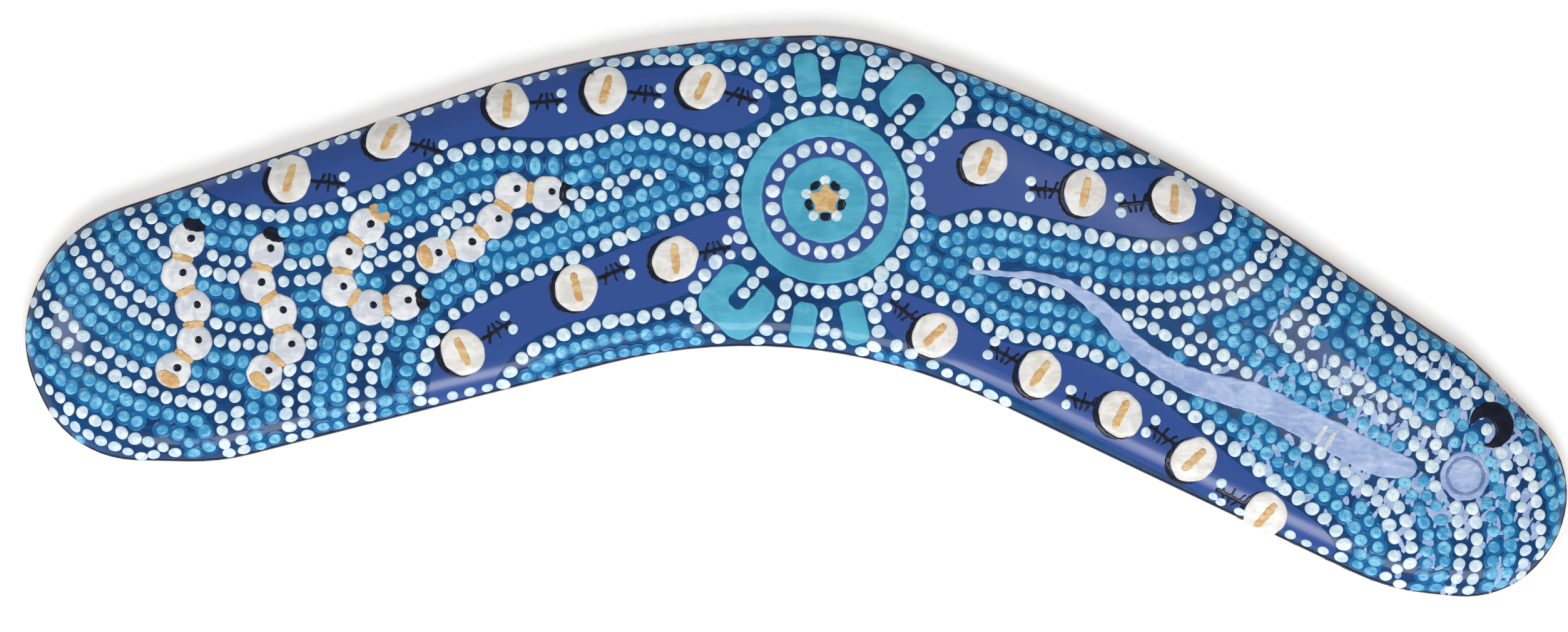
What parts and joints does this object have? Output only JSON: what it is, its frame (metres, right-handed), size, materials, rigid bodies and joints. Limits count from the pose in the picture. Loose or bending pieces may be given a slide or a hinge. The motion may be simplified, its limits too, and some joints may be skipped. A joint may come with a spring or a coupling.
{
  "type": "boomerang",
  "caption": "Dot-painted wooden boomerang: an open V of glued veneers with a domed painted side and a flat back, for display or light throwing.",
  "frame": {"origin": "on the flat back, under the centre of the painted rings at the elbow", "axes": "+X along the span between the tips, +Y from the crook to the outer edge of the elbow, +Z out of the domed painted side"},
  "size_m": [0.4024, 0.1466, 0.0105],
  "materials": {
    "wood": "clear varnish over birch veneer",
    "blue_ground": "acrylic paint under gloss varnish",
    "navy_ground": "acrylic paint under gloss varnish",
    "turquoise": "thick acrylic paint under gloss varnish",
    "white": "thick acrylic paint under gloss varnish",
    "cream": "thick acrylic paint under gloss varnish",
    "ochre": "acrylic paint under gloss varnish",
    "lavender": "thin acrylic paint under gloss varnish",
    "dark": "acrylic paint under gloss varnish"
  },
  "bodies": {
    "root": {"ply_1_long_grain": "wood", "ply_2_cross_grain": "wood", "ply_3_long_grain": "wood", "ply_4_cross_grain": "wood", "ply_5_long_grain": "wood", "ply_6_cross_grain": "wood", "ply_7_long_grain": "wood", "base_coat": "blue_ground", "navy_panels": "navy_ground", "outer_ring": "turquoise", "inner_disc": "turquoise", "channel_dots": "white", "upper_bars": "turquoise", "lower_bars": "turquoise", "bead_chain_1": "white", "bead_chain_2": "white", "bead_chain_3": "white", "bead_chain_4": "white", "cream_seeds": "cream", "twig_buds": "white", "dark_twigs": "dark", "winding_path": "lavender", "pool": "lavender", "dark_crescent": "dark", "centre_star": "ochre", "star_dots": "white", "ochre_strokes": "ochre", "bead_eyes": "dark", "bead_links": "ochre"}
  },
  "joints": []
}
